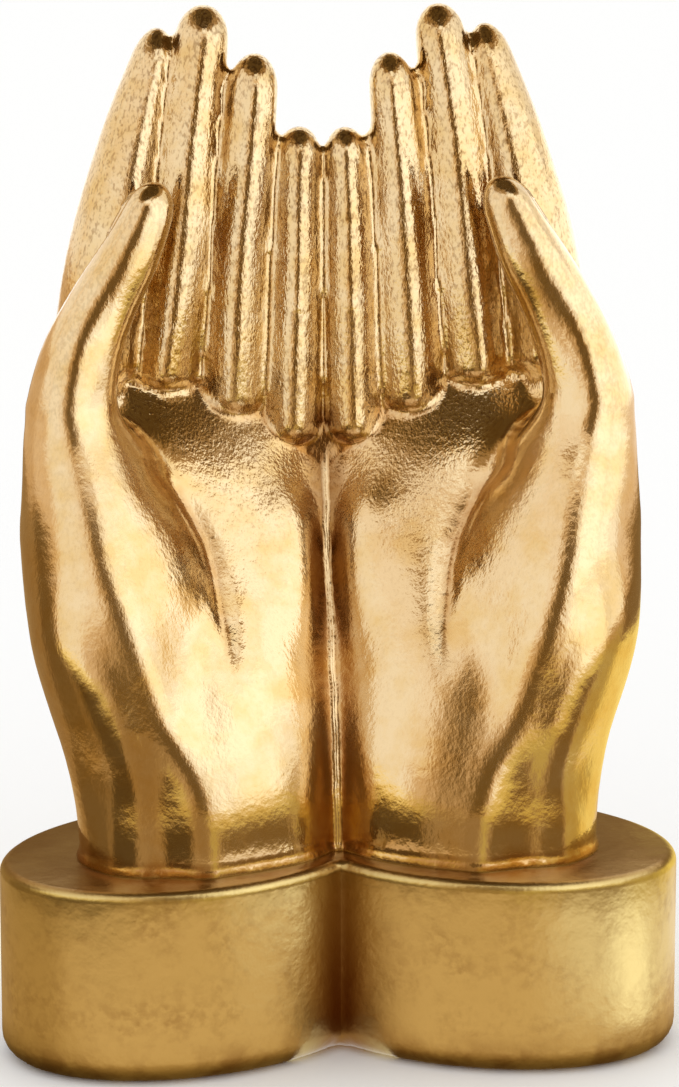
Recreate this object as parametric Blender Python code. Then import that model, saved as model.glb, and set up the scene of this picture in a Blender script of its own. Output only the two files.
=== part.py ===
"""Cupped hands figurine: one cast piece, two hands rising from a two-lobed foot.

The palms face -Y, the fingers point up, and the piece stands on z = 0 with its
origin at the middle of the underside.  Sizes are in millimetres and are turned to
metres once, where points are made.  The limbs' tables are in hundredths of the
hand's reach, so the whole hand grows with it.  One hand is modelled on the +X
side and mirrored, because the two hands are each other's mirror image.
"""

import math
from dataclasses import dataclass

import bmesh
import bpy
import numpy as np

MM = 0.001

# Foot: two overlapping oval lobes that open in a V towards the front
FOOT_HEIGHT = 37.4
LOBE_LENGTH = 75.4
LOBE_DEPTH = 53.6
LOBE_OFFSET = 27.4
LOBE_ANGLE = -25.2
NOTCH_FILLET = 0.35
FOOT_LOWER_ROUND = 4.6
FOOT_UPPER_ROUND = 2.0
FOOT_SIDES = 128

# Hand: height of the tallest fingertip above the foot, and the oval wrist
HAND_REACH = 154.0
WRIST_WIDTH = 50.6
WRIST_DEPTH = 34.6
SEAM_OVERLAP = 0.8

# How the skin is made from the joined shapes
SKIN_GRAIN = 1.0
HAND_TRIANGLES = 8600
PALM_ROUNDS = 44
FINGER_ROUNDS = 3
WEIGHT_STEPS = 10


@dataclass(frozen=True)
class Section:
    """One cross-section of a limb in millimetres; height is above the foot."""

    x: float
    y: float
    height: float
    width: float
    depth: float
    turn: float = 0.0
    tilt: float = 0.0


@dataclass(frozen=True)
class Limb:
    """Sections along a path; roof is how sharply the front is ridged, lean where.

    The caps are the lengths of the rounded ends, in hundredths of the reach.
    """

    sections: tuple
    roof: float = 0.0
    lean: float = 0.0
    ridge: float = 0.14
    low_cap: float = 0.0
    high_cap: float = 0.0
    rings: int = 40
    sides: int = 36


@dataclass(frozen=True)
class Fold:
    """A valley, or a ridge where the depth is negative, along a line on the hand.

    Lengths are in hundredths of the reach, and each fade is the share of the line
    over which the fold runs out.
    """

    line: tuple
    depth: float
    width: float
    fade_in: float
    fade_out: float


def of_reach(share):
    """Length in millimetres of a share given in hundredths of the hand's reach."""
    return share * HAND_REACH / 100


def section(x, y, height, width, depth, turn=0.0):
    """A section whose lengths are given in hundredths of the reach."""
    return Section(*(of_reach(share) for share in (x, y, height, width, depth)), turn)


def palm_section(y, height, width, depth, turn, tilt=0.0):
    """A palm section whose inner edge just reaches past the plane between the hands.

    y and height are in hundredths of the reach, width and depth are shares of the
    wrist's.  The centre stands off the plane by the turned oval's half extent.
    """
    wide, deep = width * WRIST_WIDTH, depth * WRIST_DEPTH
    across = wide * math.cos(math.radians(turn)) * math.cos(math.radians(tilt))
    reach = 0.5 * math.hypot(across, deep * math.sin(math.radians(turn)))
    return Section(reach - SEAM_OVERLAP, of_reach(y), of_reach(height), wide, deep, turn, tilt)


# Wrist and palm, from inside the foot to the ledge below the fingers
PALM = Limb(
    (
        palm_section(-1.3, -3.9, 1, 1, -16),
        palm_section(-1.04, 2.6, 1, 1, -16),
        palm_section(1.95, 12.99, 1, 0.9, -14, 2),
        palm_section(7.79, 24.68, 1.03, 0.75, -12, 8),
        palm_section(13.96, 35.71, 1.03, 0.61, -9, 14),
        palm_section(16.88, 42.53, 0.99, 0.48, -6, 18),
        palm_section(21.69, 50.32, 0.93, 0.32, -4, 19),
    ),
    low_cap=1.95,
    high_cap=1.04,
    rings=60,
    sides=48,
)

# Ball of the thumb and thumb, up to the tip
THUMB = Limb(
    (
        section(17.86, -3.57, -3.25, 18.18, 16.23, -16),
        section(19.16, -2.27, 7.79, 18.83, 16.23, -18),
        section(23.05, 0.32, 17.53, 22.73, 17.21, -25),
        section(24.94, 2.92, 26.62, 25.97, 18.18, -28),
        section(26.62, 5.84, 35.71, 23.7, 17.21, -32),
        section(29.55, 7.47, 44.16, 18.31, 14.61, -35),
        section(31.43, 8.44, 52.27, 11.82, 11.3, -20),
        section(30.13, 9.09, 59.09, 9.87, 10, -10),
        section(27.66, 9.74, 64.94, 8.7, 9.09),
        section(23.77, 10.06, 72.08, 7.4, 8.18),
        section(20.06, 10.39, 80.26, 5.45, 6.23),
    ),
    roof=0.42,
    lean=0.3,
    high_cap=3.64,
    rings=60,
    sides=48,
)

# Outer edge of the wrist and of the ball of the thumb
RADIAL_RIDGE = Limb(
    (
        section(26.49, -3.9, -3.25, 10.39, 10.39),
        section(26.49, -3.25, 6.49, 10.71, 10.39),
        section(27.79, -1.95, 12.99, 10.71, 10.39),
        section(30.26, 0.32, 19.48, 10.06, 10.39),
        section(32.66, 2.6, 27.27, 9.09, 10.39),
        section(33.9, 5.19, 37.66, 8.44, 10.39),
        section(33.9, 7.47, 46.75, 7.79, 9.09),
    ),
    roof=0.3,
)

# Heel of the hand on the little-finger side
HEEL = Limb(
    (
        section(9.09, -0.65, 5.19, 12.99, 12.99),
        section(8.44, 4.55, 15.58, 14.94, 12.99),
        section(8.12, 9.42, 25.97, 14.94, 11.69),
        section(8.12, 14.29, 36.36, 14.29, 9.74),
        section(7.79, 16.88, 42.86, 12.99, 7.79),
    ),
)

# Filling behind the seam where the two hands meet below the fingers
SEAM_FILL = Limb(
    (
        section(0, 15.91, 29.22, 7.79, 7.14),
        section(0, 18.57, 37.01, 9.09, 7.14),
        section(0, 20.39, 42.86, 9.09, 6.49),
        section(0, 21.69, 49.35, 7.14, 5.84),
    ),
)

# Fingers, from the back of the hand past the root behind the ledge to the tip
LITTLE = Limb(
    (
        section(3.83, 20.26, 45.13, 7.27, 8.77),
        section(3.77, 20.65, 49.35, 7.27, 9.09),
        section(3.51, 20.65, 57.14, 7.14, 9.09),
        section(3.25, 20.13, 68.18, 6.62, 8.44),
        section(2.79, 19.35, 84.94, 5.06, 6.17),
    ),
    roof=0.5,
    ridge=0.35,
    low_cap=2.21,
    high_cap=3.51,
)

RING = Limb(
    (
        section(11.17, 20.52, 48.7, 8.31, 9.09),
        section(11.04, 20.71, 53.25, 8.38, 9.61),
        section(10.65, 20.71, 61.04, 8.31, 9.74),
        section(9.74, 20.13, 74.68, 7.4, 9.09),
        section(8.05, 19.22, 94.03, 5.32, 6.49),
    ),
    roof=0.5,
    ridge=0.35,
    low_cap=2.34,
    high_cap=3.9,
)

MIDDLE = Limb(
    (
        section(19.61, 20.13, 52.27, 8.7, 9.42),
        section(19.22, 20.32, 57.14, 8.7, 9.87),
        section(18.31, 20.52, 63.64, 8.7, 10.06),
        section(16.75, 20.78, 78.57, 8.05, 9.42),
        section(13.96, 21.69, 99.74, 5.97, 6.82),
    ),
    roof=0.5,
    ridge=0.35,
    low_cap=2.34,
    high_cap=3.9,
)

INDEX = Limb(
    (
        section(27.79, 17.66, 53.57, 9.09, 9.42, -20),
        section(27.86, 18.05, 57.79, 9.74, 10, -20),
        section(27.4, 18.44, 63.64, 9.87, 10.39, -20),
        section(24.42, 20, 79.22, 8.05, 9.42, -15),
        section(19.61, 22.47, 96.88, 4.16, 5.84, -10),
    ),
    roof=0.5,
    ridge=0.35,
    low_cap=2.34,
    high_cap=3.9,
)

# Roots that carry each finger down the back of the hand
ROOTS = (
    Limb(
        (
            section(5.84, 16.36, 31.17, 5.84, 6.49),
            section(3.9, 22.21, 46.75, 6.88, 5.58),
            section(3.51, 21.82, 59.74, 6.49, 5.19),
        )
    ),
    Limb(
        (
            section(11.69, 16.62, 31.17, 6.49, 6.49),
            section(11.17, 22.73, 48.7, 8.05, 5.71),
            section(10.65, 22.08, 63.64, 7.66, 5.19),
        )
    ),
    Limb(
        (
            section(18.18, 15.84, 31.17, 6.49, 6.49),
            section(19.48, 22.47, 50.65, 8.44, 5.71),
            section(18.31, 22.08, 66.23, 7.92, 5.19),
        )
    ),
    Limb(
        (
            section(25, 13.38, 31.17, 6.49, 6.49),
            section(28.44, 17.92, 45.45, 8.18, 8.44, -20),
            section(28.96, 18.57, 54.55, 8.31, 9.09, -20),
            section(27.27, 19.48, 67.53, 8.31, 6.49, -20),
        )
    ),
)

# Webs that close the gaps between neighbouring fingers
WEBS = (
    Limb(
        (
            section(28.9, 7.79, 35.06, 7.79, 9.09),
            section(30.26, 11.36, 44.16, 7.14, 9.09),
            section(30.13, 14.61, 51.95, 5.84, 7.79),
        )
    ),
    Limb(
        (
            section(7.14, 21.1, 45.45, 1.43, 5.19),
            section(6.75, 20.78, 58.44, 1.3, 4.55),
            section(5.58, 20.13, 80.52, 1.17, 3.25),
        )
    ),
    Limb(
        (
            section(15.39, 21.43, 49.35, 1.43, 5.19),
            section(14.42, 20.78, 63.64, 1.3, 4.55),
            section(11.43, 20.45, 88.96, 1.17, 3.25),
        )
    ),
    Limb(
        (
            section(23.77, 19.81, 50.65, 1.43, 5.19),
            section(22.34, 19.81, 64.94, 1.3, 4.55),
            section(17.92, 21.75, 92.21, 1.17, 3.25),
        )
    ),
)

# Everything that the hand is fused from
LIMBS = (
    PALM, THUMB, RADIAL_RIDGE, HEEL, SEAM_FILL, LITTLE, RING, MIDDLE, INDEX, *ROOTS, *WEBS
)

# Thenar valley and its crease, the two ridges of the wrist and the valley between
FOLDS = (
    Fold(
        (
            (23.05, 6.82, 47.08),
            (20.45, 8.12, 44.48),
            (18.18, 8.25, 42.21),
            (16.36, 7.14, 39.29),
            (14.94, 5.84, 36.36),
            (14.09, 4.03, 33.31),
            (13.57, 2.08, 30.52),
            (13.12, 0.13, 27.66),
            (12.92, -1.95, 24.68),
            (12.79, -3.9, 21.82),
            (12.66, -5.32, 18.83),
        ),
        depth=0.39,
        width=2.99,
        fade_in=0.1,
        fade_out=0.5,
    ),
    Fold(
        (
            (23.05, 6.82, 47.08),
            (20.45, 8.12, 44.48),
            (18.18, 8.25, 42.21),
            (16.36, 7.14, 39.29),
            (14.94, 5.84, 36.36),
            (14.09, 4.03, 33.31),
            (13.57, 2.08, 30.52),
            (13.12, 0.13, 27.66),
            (12.92, -1.95, 24.68),
            (12.79, -3.9, 21.82),
            (12.66, -5.32, 18.83),
        ),
        depth=0.52,
        width=1.17,
        fade_in=0.3,
        fade_out=0.4,
    ),
    Fold(
        (
            (32.01, 0.13, 46.1),
            (28.57, -4.55, 36.36),
            (24.68, -7.08, 28.57),
            (22.47, -7.92, 22.47),
            (20.26, -9.48, 16.23),
            (17.73, -11.49, 9.09),
            (16.43, -12.99, 2.92),
            (16.23, -13.18, -1.95),
        ),
        depth=-0.58,
        width=2.21,
        fade_in=0.4,
        fade_out=0,
    ),
    Fold(
        (
            (35.06, -1.95, 35.71),
            (33.77, -5.52, 28.9),
            (30.84, -7.47, 25),
            (27.92, -8.77, 21.43),
            (26.62, -9.22, 16.88),
            (26.1, -9.74, 10.39),
            (26.36, -10.91, 2.92),
            (26.36, -11.17, -1.95),
        ),
        depth=-0.45,
        width=2.21,
        fade_in=0.4,
        fade_out=0,
    ),
    Fold(
        (
            (33.44, -1.3, 37.66),
            (31.17, -4.87, 31.17),
            (28.25, -7.47, 25.32),
            (25.65, -8.57, 21.43),
            (23.7, -9.74, 16.88),
            (22.08, -11.04, 10.39),
            (21.43, -12.34, 2.92),
            (21.43, -12.53, -1.95),
        ),
        depth=0.29,
        width=2.34,
        fade_in=0.45,
        fade_out=0,
    ),
)

# The ledge below the fingers as x and height, and where the relaxing fades out
LEDGE = (
    (0.52, 44.81),
    (2.92, 45.78),
    (6.49, 48.05),
    (10.84, 50),
    (13.96, 50.65),
    (15.91, 53.25),
    (25, 54.55),
)
LEDGE_FADE = (-3.9, -1)
KNUCKLE_FADE = (42.9, 59.7)
BACK_FROM = (19.5, 22.1)


def spline(rows, count):
    """Smooth curve through the rows: cubic pieces with slopes from neighbours."""
    rows = np.asarray(rows, float)
    steps = np.linalg.norm(np.diff(rows[:, :3], axis=0), axis=1)
    knots = np.concatenate([[0.0], np.cumsum(steps)])
    slopes = np.gradient(rows, knots, axis=0)
    wanted = knots[-1] * 0.5 * (1 - np.cos(np.linspace(0, math.pi, count)))
    piece = np.clip(np.searchsorted(knots, wanted, side="right") - 1, 0, len(steps) - 1)
    span = steps[piece][:, None]
    t = (wanted - knots[piece])[:, None] / span
    value = (
        (2 * t**3 - 3 * t**2 + 1) * rows[piece]
        + (t**3 - 2 * t**2 + t) * span * slopes[piece]
        + (3 * t**2 - 2 * t**3) * rows[piece + 1]
        + (t**3 - t**2) * span * slopes[piece + 1]
    )
    return wanted, value


def front(side, roof, lean, ridge):
    """How far the front of a section stands forward at each share of its half width.

    With a roof it is two flat flanks that meet in a soft ridge, off the middle by
    the lean; the sixth power closes the outline at both edges.
    """
    away = np.abs(side - lean) / (1 + abs(lean))
    fall = roof * (np.hypot(away, ridge) - ridge) / (math.hypot(1, ridge) - ridge)
    return -np.sqrt(np.clip(1 - side**6, 0, 1)) * (1 - fall)


def rings_of(limb):
    """Rings of points along a limb, as an array (rings, sides, 3) in millimetres."""
    rows = [
        (s.x, s.y, s.height + FOOT_HEIGHT, s.width / 2, s.depth / 2, s.turn, s.tilt)
        for s in limb.sections
    ]
    along, rows = spline(rows, limb.rings)
    path, half_width, half_depth = rows[:, :3], rows[:, 3:4], rows[:, 4:5]
    turn, tilt = np.radians(rows[:, 5]), np.radians(rows[:, 6])
    tangent = np.gradient(path, along, axis=0)
    tangent /= np.linalg.norm(tangent, axis=1)[:, None]
    across = np.stack(
        [np.cos(turn) * np.cos(tilt), np.sin(turn) * np.cos(tilt), np.sin(tilt)], axis=1
    )
    if not any(s.tilt for s in limb.sections):
        across -= tangent * np.sum(across * tangent, axis=1)[:, None]
    across /= np.linalg.norm(across, axis=1)[:, None]
    through = np.cross(tangent, across)
    through /= np.linalg.norm(through, axis=1)[:, None]
    low = np.clip(1 - along / (of_reach(limb.low_cap) or half_width[0, 0]), 0, 1)
    high = np.clip(1 - (along[-1] - along) / (of_reach(limb.high_cap) or half_width[-1, 0]), 0, 1)
    swell = np.sqrt(np.clip(1 - np.maximum(low, high) ** 2, 0, 1))[:, None]
    angle = np.linspace(0, 2 * math.pi, limb.sides, endpoint=False)
    side, face = np.cos(angle), np.sin(angle)
    if limb.roof:
        face = np.where(face < 0, front(side, limb.roof, limb.lean, limb.ridge), face)
    rings = (
        path[:, None, :]
        + across[:, None, :] * (half_width * swell * side)[:, :, None]
        + through[:, None, :] * (half_depth * swell * face)[:, :, None]
    )
    return rings[1:-1]


def close_rings(bm, rings):
    """Add a stack of rings to bm as a closed tube with a fan at each end."""
    loops = [[bm.verts.new(point) for point in ring * MM] for ring in rings]
    for lower, upper in zip(loops, loops[1:]):
        for here, after, above, over in zip(
            lower, lower[1:] + lower[:1], upper[1:] + upper[:1], upper
        ):
            bm.faces.new((here, after, above, over))
    first = bm.verts.new(rings[0].mean(axis=0) * MM)
    last = bm.verts.new(rings[-1].mean(axis=0) * MM)
    for here, after in zip(loops[0], loops[0][1:] + loops[0][:1]):
        bm.faces.new((after, here, first))
    for here, after in zip(loops[-1], loops[-1][1:] + loops[-1][:1]):
        bm.faces.new((here, after, last))


def lobe_reach(angle):
    """Distance from the middle to the +X lobe's edge along each direction."""
    turn = math.radians(LOBE_ANGLE)
    half_length, half_depth = LOBE_LENGTH / 2, LOBE_DEPTH / 2
    dx, dy = np.cos(angle - turn) / half_length, np.sin(angle - turn) / half_depth
    cx = LOBE_OFFSET * math.cos(turn) / half_length
    cy = -LOBE_OFFSET * math.sin(turn) / half_depth
    square, cross, rest = dx**2 + dy**2, dx * cx + dy * cy, cx**2 + cy**2 - 1
    return (cross + np.sqrt(cross**2 - square * rest)) / square


def foot_outline():
    """The foot's plan and its outward normals: both lobes with a fillet between."""
    angle = np.linspace(0, 2 * math.pi, FOOT_SIDES, endpoint=False)
    fillet = NOTCH_FILLET
    reach = fillet * np.logaddexp(
        lobe_reach(angle) / fillet, lobe_reach(math.pi - angle) / fillet
    )
    points = reach[:, None] * np.stack([np.cos(angle), np.sin(angle)], axis=1)
    run = np.roll(points, -1, axis=0) - np.roll(points, 1, axis=0)
    normals = np.stack([run[:, 1], -run[:, 0]], axis=1)
    return points, normals / np.linalg.norm(normals, axis=1)[:, None]


def foot():
    """The foot: its outline carried up, with a large lower and a small upper round."""
    points, normals = foot_outline()
    profile = [
        (FOOT_LOWER_ROUND * (1 - math.sin(a)), FOOT_LOWER_ROUND * (1 - math.cos(a)))
        for a in np.linspace(0, math.pi / 2, 5)
    ] + [
        (FOOT_UPPER_ROUND * (1 - math.cos(a)), FOOT_HEIGHT - FOOT_UPPER_ROUND * (1 - math.sin(a)))
        for a in np.linspace(0, math.pi / 2, 4)
    ]
    rings = [
        np.column_stack([points - normals * inset, np.full(len(points), level)])
        for inset, level in profile
    ]
    bm = bmesh.new()
    close_rings(bm, np.array(rings))
    return new_object("cupped_hands", bm)


def new_object(name, bm):
    """Put the bmesh in a new object of the scene."""
    mesh = bpy.data.meshes.new(name)
    bm.to_mesh(mesh)
    bm.free()
    thing = bpy.data.objects.new(name, mesh)
    bpy.context.scene.collection.objects.link(thing)
    return thing


def evaluated(thing):
    """A new mesh with the object's modifiers applied."""
    graph = bpy.context.evaluated_depsgraph_get()
    return bpy.data.meshes.new_from_object(thing.evaluated_get(graph))


def smooth_step(value, low, high):
    """Zero below low, one above high, and 3 t^2 - 2 t^3 of the share t between."""
    t = np.clip((value - low) / (high - low), 0, 1)
    return t * t * (3 - 2 * t)


def fold_depth(fold, points):
    """How deep a fold cuts at each point of the right hand, in millimetres.

    A bell over the distance to the fold's line, fading out along it at both ends.
    """
    line = of_reach(np.array(fold.line)) + (0, 0, FOOT_HEIGHT)
    steps = np.linalg.norm(np.diff(line, axis=0), axis=1)
    before = np.concatenate([[0.0], np.cumsum(steps)])
    nearest = np.full(len(points), np.inf)
    share = np.zeros(len(points))
    for a, b, start, step in zip(line[:-1], line[1:], before[:-1], steps):
        t = np.clip((points - a) @ (b - a) / step**2, 0, 1)
        gap = np.linalg.norm(points - a - t[:, None] * (b - a), axis=1)
        nearer = gap < nearest
        nearest = np.where(nearer, gap, nearest)
        share = np.where(nearer, (start + t * step) / before[-1], share)
    fade = 1 - smooth_step(share, 1 - fold.fade_out, 1.001)
    fade = fade * smooth_step(share, -0.001, fold.fade_in)
    return of_reach(fold.depth) * fade * np.exp(-((nearest / of_reach(fold.width)) ** 2))


def softness(points):
    """How strongly each point is relaxed: fully on the palm, not at all on the fingers.

    In front the change lies just under the ledge, and behind it is a slow fade over
    the knuckles.
    """
    height = points[:, 2] - FOOT_HEIGHT
    ledge = np.interp(points[:, 0], *of_reach(np.array(LEDGE).T))
    below = smooth_step(height - ledge, of_reach(LEDGE_FADE[0]), of_reach(LEDGE_FADE[1]))
    behind = smooth_step(height, of_reach(KNUCKLE_FADE[0]), of_reach(KNUCKLE_FADE[1]))
    back = smooth_step(points[:, 1], of_reach(BACK_FROM[0]), of_reach(BACK_FROM[1]))
    return 1 - below + (below - behind) * back


def hands():
    """Both hands as one closed skin: fused, softened below the fingers, thinned."""
    bm = bmesh.new()
    for limb in LIMBS:
        close_rings(bm, rings_of(limb))
    other = bmesh.ops.duplicate(bm, geom=bm.verts[:] + bm.edges[:] + bm.faces[:])
    verts = [g for g in other["geom"] if isinstance(g, bmesh.types.BMVert)]
    faces = [g for g in other["geom"] if isinstance(g, bmesh.types.BMFace)]
    bmesh.ops.scale(bm, vec=(-1, 1, 1), verts=verts)
    bmesh.ops.reverse_faces(bm, faces=faces)
    skin = new_object("hands_skin", bm)
    remesh = skin.modifiers.new("join", "REMESH")
    remesh.mode = "VOXEL"
    remesh.voxel_size = SKIN_GRAIN * MM
    joined = evaluated(skin)
    skin.modifiers.clear()
    skin.data = joined
    flat = np.empty(len(joined.vertices) * 3, np.float32)
    joined.vertices.foreach_get("co", flat)
    points = flat.reshape(-1, 3).astype(float) / MM
    joined.vertices.foreach_get("normal", flat)
    normals = flat.reshape(-1, 3).astype(float)
    right = np.column_stack([np.abs(points[:, 0]), points[:, 1:]])
    depth = sum(fold_depth(fold, right) for fold in FOLDS)
    points -= normals * depth[:, None]
    joined.vertices.foreach_set("co", (points * MM).astype(np.float32).ravel())
    soft = softness(right)
    group = skin.vertex_groups.new(name="soft")
    for step in range(WEIGHT_STEPS + 1):
        chosen = np.nonzero(np.round(soft * WEIGHT_STEPS) == step)[0].tolist()
        group.add(chosen, step / WEIGHT_STEPS, "REPLACE")
    for name, rounds in (("palm", PALM_ROUNDS), ("fingers", FINGER_ROUNDS)):
        smooth = skin.modifiers.new(name, "SMOOTH")
        smooth.factor = 0.5
        smooth.iterations = rounds
    skin.modifiers["palm"].vertex_group = group.name
    thin = skin.modifiers.new("thin", "DECIMATE")
    thin.ratio = HAND_TRIANGLES / (len(joined.polygons) * 2)
    thin.use_symmetry = True
    thin.symmetry_axis = "X"
    return skin


def gold():
    """Satin gold paint over the casting."""
    material = bpy.data.materials.new("gold_paint")
    material.use_nodes = True
    shader = material.node_tree.nodes["Principled BSDF"]
    shader.inputs["Base Color"].default_value = (0.60, 0.36, 0.11, 1.0)
    shader.inputs["Metallic"].default_value = 1.0
    shader.inputs["Roughness"].default_value = 0.32
    return material


def main():
    """Unite the hands with the foot and paint the casting."""
    for thing in list(bpy.data.objects):
        bpy.data.objects.remove(thing, do_unlink=True)
    casting = foot()
    skin = hands()
    skin.hide_render = True
    skin.display_type = "WIRE"
    union = casting.modifiers.new("hands", "BOOLEAN")
    union.operation = "UNION"
    union.object = skin
    casting.data.materials.append(gold())


main()
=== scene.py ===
"""Gilded figurine of two cupped hands rising from a two-lobed foot.

The casting is one piece of resin under gold leaf.  Its skin is worked out here in
millimetres from the same sizes as the solid: oval sections carried along a path
for each finger, thumb and palm, joined, relaxed, and then cut with the creases,
nails and folds that the leaf follows.  Lengths are turned to metres where a mesh
is made.  The palms face -Y and the foot stands on z = 0.
"""

from __future__ import annotations

import logging
import math
from dataclasses import dataclass, field

import bpy
import numpy as np
from mathutils import Matrix, Vector

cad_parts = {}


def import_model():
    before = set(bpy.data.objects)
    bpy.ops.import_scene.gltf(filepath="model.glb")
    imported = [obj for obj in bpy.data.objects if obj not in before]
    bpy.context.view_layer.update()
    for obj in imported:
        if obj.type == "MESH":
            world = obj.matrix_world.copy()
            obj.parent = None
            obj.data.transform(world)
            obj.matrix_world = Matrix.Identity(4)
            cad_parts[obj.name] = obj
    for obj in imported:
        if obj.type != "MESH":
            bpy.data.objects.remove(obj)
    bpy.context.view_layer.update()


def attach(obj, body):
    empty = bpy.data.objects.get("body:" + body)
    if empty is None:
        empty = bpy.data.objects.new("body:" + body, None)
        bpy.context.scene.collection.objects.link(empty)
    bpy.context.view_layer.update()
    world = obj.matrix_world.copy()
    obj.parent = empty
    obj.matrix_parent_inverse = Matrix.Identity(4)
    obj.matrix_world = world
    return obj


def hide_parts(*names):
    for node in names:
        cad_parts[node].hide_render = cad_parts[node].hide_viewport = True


LOG = logging.getLogger("cupped_hands")
MM = 0.001
NODE = "cupped_hands"
BODY = "root"
Array = np.ndarray
Socket = bpy.types.NodeSocket
Pair = tuple[float, float]
Triple = tuple[float, float, float]


def linear(hex_colour: str) -> tuple[float, float, float, float]:
    """Turn an sRGB hex colour into linear values.

    Formula: each channel c is c / 12.92 below 0.04045, and ((c + 0.055) / 1.055)
    to the power 2.4 above it.

    Args:
        hex_colour: six hex digits, such as "E7C27C".

    Returns:
        Red, green, blue and an alpha of one, for a node's colour socket.
    """
    channels = [int(hex_colour[i : i + 2], 16) / 255 for i in (0, 2, 4)]
    lit = [c / 12.92 if c <= 0.04045 else ((c + 0.055) / 1.055) ** 2.4 for c in channels]
    return (lit[0], lit[1], lit[2], 1.0)


@dataclass
class Skin:
    """A surface as whole arrays: points in millimetres and faces by their corners."""

    points: Array
    quads: Array
    triangles: Array

    def mirrored(self) -> Skin:
        """The same surface reflected in x = 0, with its faces still pointing outwards."""
        return Skin(self.points * (-1.0, 1.0, 1.0), self.quads[:, ::-1], self.triangles[:, ::-1])

    @staticmethod
    def joined(skins: list[Skin]) -> Skin:
        """Put several surfaces in one, shifting each one's corner numbers.

        Args:
            skins: the surfaces, which stay separate shells.

        Returns:
            One surface that holds them all.
        """
        starts = np.cumsum([0] + [len(s.points) for s in skins[:-1]])
        return Skin(
            np.concatenate([s.points for s in skins]),
            np.concatenate([s.quads + n for s, n in zip(skins, starts)]),
            np.concatenate([s.triangles + n for s, n in zip(skins, starts)]),
        )

    def to_object(self, name: str) -> bpy.types.Object:
        """Make a mesh object of the surface at the scene's origin.

        Args:
            name: the object's name.

        Returns:
            The linked object.
        """
        mesh = bpy.data.meshes.new(name)
        mesh.from_pydata((self.points * MM).tolist(), [], self.quads.tolist() + self.triangles.tolist())
        thing = bpy.data.objects.new(name, mesh)
        bpy.context.scene.collection.objects.link(thing)
        return thing


def tube(rings: Array) -> Skin:
    """Close a stack of rings into a skin, with a fan of triangles at each end.

    Args:
        rings: array (rings, sides, 3), each ring running anticlockwise seen from
            the far end of the stack.

    Returns:
        The closed skin, with its faces pointing outwards.
    """
    count, sides, _ = rings.shape
    here = np.arange(sides)
    after = np.roll(here, -1)
    base = (np.arange(count - 1) * sides)[:, None]
    quads = np.stack([base + here, base + after, base + sides + after, base + sides + here], axis=-1)
    poles = np.stack([rings[0].mean(axis=0), rings[-1].mean(axis=0)])
    first, last = count * sides, count * sides + 1
    top = (count - 1) * sides
    triangles = np.concatenate(
        [
            np.stack([after, here, np.full(sides, first)], axis=-1),
            np.stack([top + here, top + after, np.full(sides, last)], axis=-1),
        ]
    )
    return Skin(np.concatenate([rings.reshape(-1, 3), poles]), quads.reshape(-1, 4), triangles)


def unit(vectors: Array) -> Array:
    """Rows of vectors, each made one long."""
    return vectors / np.linalg.norm(vectors, axis=1)[:, None]


def lengths(path: Array) -> tuple[Array, Array]:
    """Length of each step of a path, and the distance run at each of its points."""
    steps = np.linalg.norm(np.diff(path, axis=0), axis=1)
    return steps, np.concatenate([[0.0], np.cumsum(steps)])


def smooth_rows(rows: Array, count: int) -> tuple[Array, Array]:
    """Carry a smooth curve through rows of numbers whose first three are a place.

    Formula: cubic Hermite pieces between rows, with each slope taken from the
    neighbouring rows, and samples that crowd towards both ends as a cosine does.

    Args:
        rows: array (rows, values).
        count: how many samples to return.

    Returns:
        The distance along the curve of each sample, and the sampled rows.
    """
    steps, knots = lengths(rows[:, :3])
    slopes = np.gradient(rows, knots, axis=0)
    wanted = knots[-1] * 0.5 * (1 - np.cos(np.linspace(0, math.pi, count)))
    piece = np.clip(np.searchsorted(knots, wanted, side="right") - 1, 0, len(steps) - 1)
    span = steps[piece][:, None]
    t = (wanted - knots[piece])[:, None] / span
    value = (
        (2 * t**3 - 3 * t**2 + 1) * rows[piece]
        + (t**3 - 2 * t**2 + t) * span * slopes[piece]
        + (3 * t**2 - 2 * t**3) * rows[piece + 1]
        + (t**3 - t**2) * span * slopes[piece + 1]
    )
    return wanted, value


@dataclass(frozen=True)
class Station:
    """One oval section of a limb, in millimetres and degrees; height is above the foot."""

    x: float
    y: float
    height: float
    width: float
    depth: float
    turn: float = 0.0
    tilt: float = 0.0

    def place(self, foot_height: float) -> Triple:
        """The section's middle, measured from the floor."""
        return (self.x, self.y, self.height + foot_height)


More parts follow.
